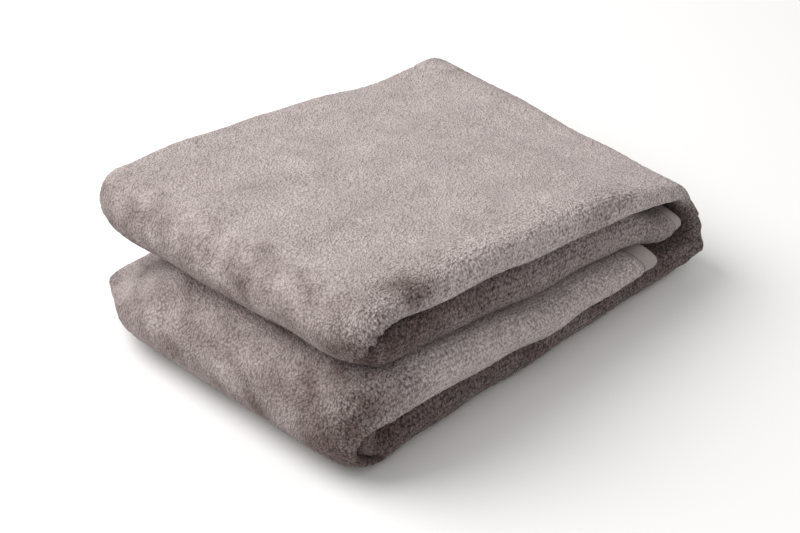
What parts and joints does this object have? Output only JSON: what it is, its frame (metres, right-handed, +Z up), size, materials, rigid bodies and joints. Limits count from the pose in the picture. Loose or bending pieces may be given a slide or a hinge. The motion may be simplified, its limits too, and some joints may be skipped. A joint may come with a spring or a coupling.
{
  "type": "folded throw blanket",
  "caption": "Plush throw folded in four across its width, its bound ends folded inside and the pack folded in half; the upper half opens round the spine.",
  "frame": {"origin": "middle of the resting face, on the floor", "axes": "+X from the two left folds to the spine, +Y from the closed front to the hemmed back, +Z up"},
  "size_m": [0.4288, 0.3246, 0.1483],
  "materials": {
    "plush": "matte plush pile, taupe grey",
    "tape": "smooth woven binding tape, grey",
    "thread": "polyester sewing thread"
  },
  "bodies": {
    "lower_half": {"lower_outer_layer": "plush", "lower_left_fold": "plush", "lower_flap": "plush", "lower_spine": "plush", "lower_end_tape": "tape", "lower_end_thread": "thread"},
    "upper_half": {"upper_outer_layer": "plush", "upper_left_fold": "plush", "upper_flap": "plush", "upper_spine": "plush", "upper_end_tape": "tape", "upper_end_thread": "thread"}
  },
  "joints": [
    {"name": "unfold", "type": "hinge", "parent": "lower_half", "child": "upper_half", "pos_m": [0.2149, 0, 0.0564], "axis": [0, 1, 0], "range_deg": [0, 174]}
  ]
}
